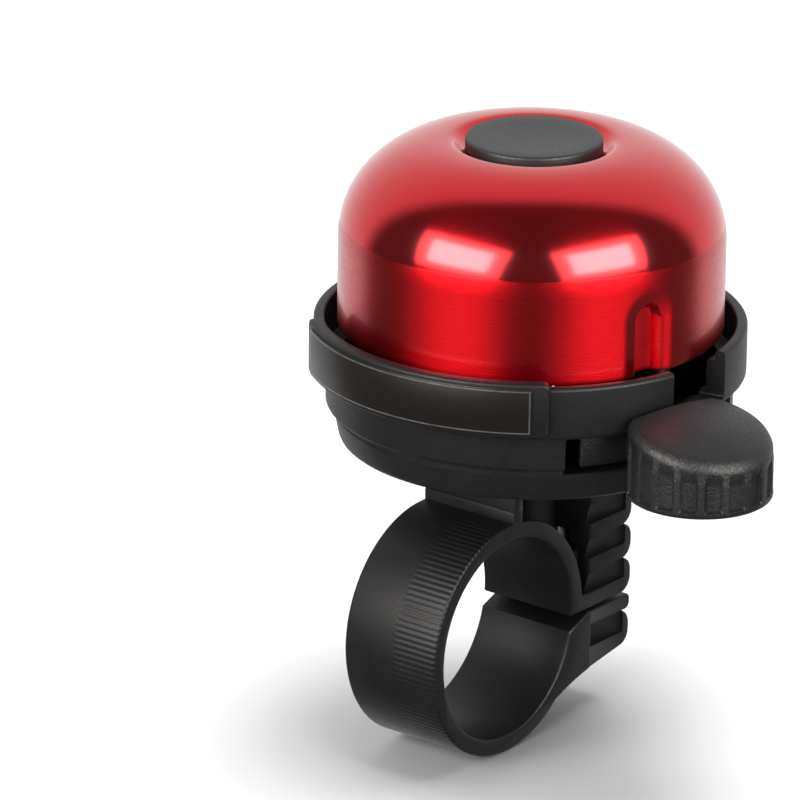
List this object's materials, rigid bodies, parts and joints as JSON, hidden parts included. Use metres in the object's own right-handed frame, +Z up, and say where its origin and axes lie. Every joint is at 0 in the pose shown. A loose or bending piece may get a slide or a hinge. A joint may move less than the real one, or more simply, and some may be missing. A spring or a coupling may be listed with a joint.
{
  "type": "bicycle bell",
  "caption": "Bicycle bell with a red metal dome on a black plastic housing, a ribbed thumb lever that swings a spring-held striker, and a screw-closed split handlebar clamp.",
  "frame": {"origin": "centre of the handlebar clamp's bore", "axes": "+X along the handlebar, +Z up along the bell's axis, +Y from the clamp bore towards the clamp screw and the bell's axis, -Y towards the label pad"},
  "size_m": [0.0582, 0.0473, 0.0655],
  "materials": {
    "black_plastic": "satin",
    "lever_plastic": "satin",
    "cap_plastic": "matte",
    "label_foil": "gloss",
    "red_anodised": "anodised, polished crown",
    "brass": "turned",
    "rubber": "matte",
    "aluminium": "turned",
    "steel": "turned",
    "spring_steel": "drawn wire",
    "zinc_steel": "zinc plated"
  },
  "bodies": {
    "root": {"clamp_base": "black_plastic", "upper_housing": "black_plastic", "label_plate": "label_foil", "dome": "red_anodised", "dome_cap": "cap_plastic", "cap_insert": "brass", "dome_washer": "rubber", "dome_sleeve": "aluminium", "centre_post": "steel", "thrust_washer": "steel", "lever_spring": "spring_steel", "housing_screws": "zinc_steel", "clamp_washer": "zinc_steel", "clamp_nut": "zinc_steel"},
    "lever": {"thumb_lever": "lever_plastic", "hammer_pin": "steel", "pin_clip": "spring_steel", "hammer_spring": "spring_steel"},
    "hammer": {"hammer_arm": "lever_plastic", "hammer_head": "steel"},
    "clamp_screw": {"clamp_screw": "zinc_steel"}
  },
  "joints": [
    {"name": "lever_swing", "type": "hinge", "parent": "root", "child": "lever", "pos_m": [0, 0.0106, 0.0254], "axis": [0, 0, 1], "range_deg": [0, 22], "stiffness_Nm_per_rad": 0.05, "springref_deg": -20.05, "deforming": ["lever_spring"]},
    {"name": "hammer_swing", "type": "hinge", "parent": "lever", "child": "hammer", "pos_m": [0.00959, 0.01094, 0.0283], "axis": [0, 0, 1], "range_deg": [-6, 10], "stiffness_Nm_per_rad": 0.004, "deforming": ["hammer_spring"]},
    {"name": "clamp_screw_turn", "type": "hinge", "parent": "root", "child": "clamp_screw", "pos_m": [0, 0.0169, 0], "axis": [0, 0, 1], "continuous": true}
  ]
}
